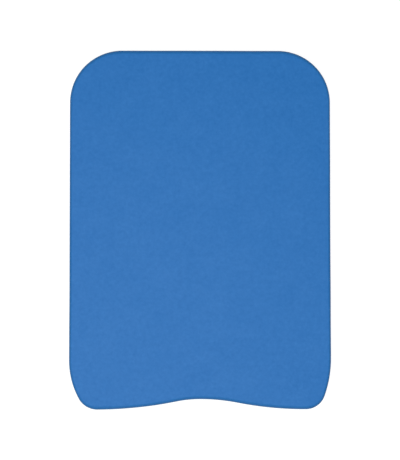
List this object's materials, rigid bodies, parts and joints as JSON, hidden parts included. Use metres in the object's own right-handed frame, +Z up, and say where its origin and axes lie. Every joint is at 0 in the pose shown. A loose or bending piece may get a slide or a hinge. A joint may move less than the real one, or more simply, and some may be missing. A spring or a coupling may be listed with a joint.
{
  "type": "kickboard float",
  "caption": "Flat blue foam swimming kickboard with rounded nose corners, nearly straight sides and a shallow arch in the tail, laminated from foam sheets.",
  "frame": {"origin": "under the middle of the board, on the surface that it lies on", "axes": "+Z up through the thickness, +Y from the arched tail to the nose, +X to the right as seen from above with the nose away"},
  "size_m": [0.292, 0.4, 0.03],
  "materials": {
    "face_foam": "blue closed-cell EVA foam with a matt skin, sanded round at the rim",
    "core_foam": "blue closed-cell EVA foam, cut edge with open cells",
    "glue_film": "dried contact glue, slightly glossy"
  },
  "bodies": {
    "root": {"top_sheet": "face_foam", "upper_glue_film": "glue_film", "core_sheet": "core_foam", "lower_glue_film": "glue_film", "bottom_sheet": "face_foam"}
  },
  "joints": []
}
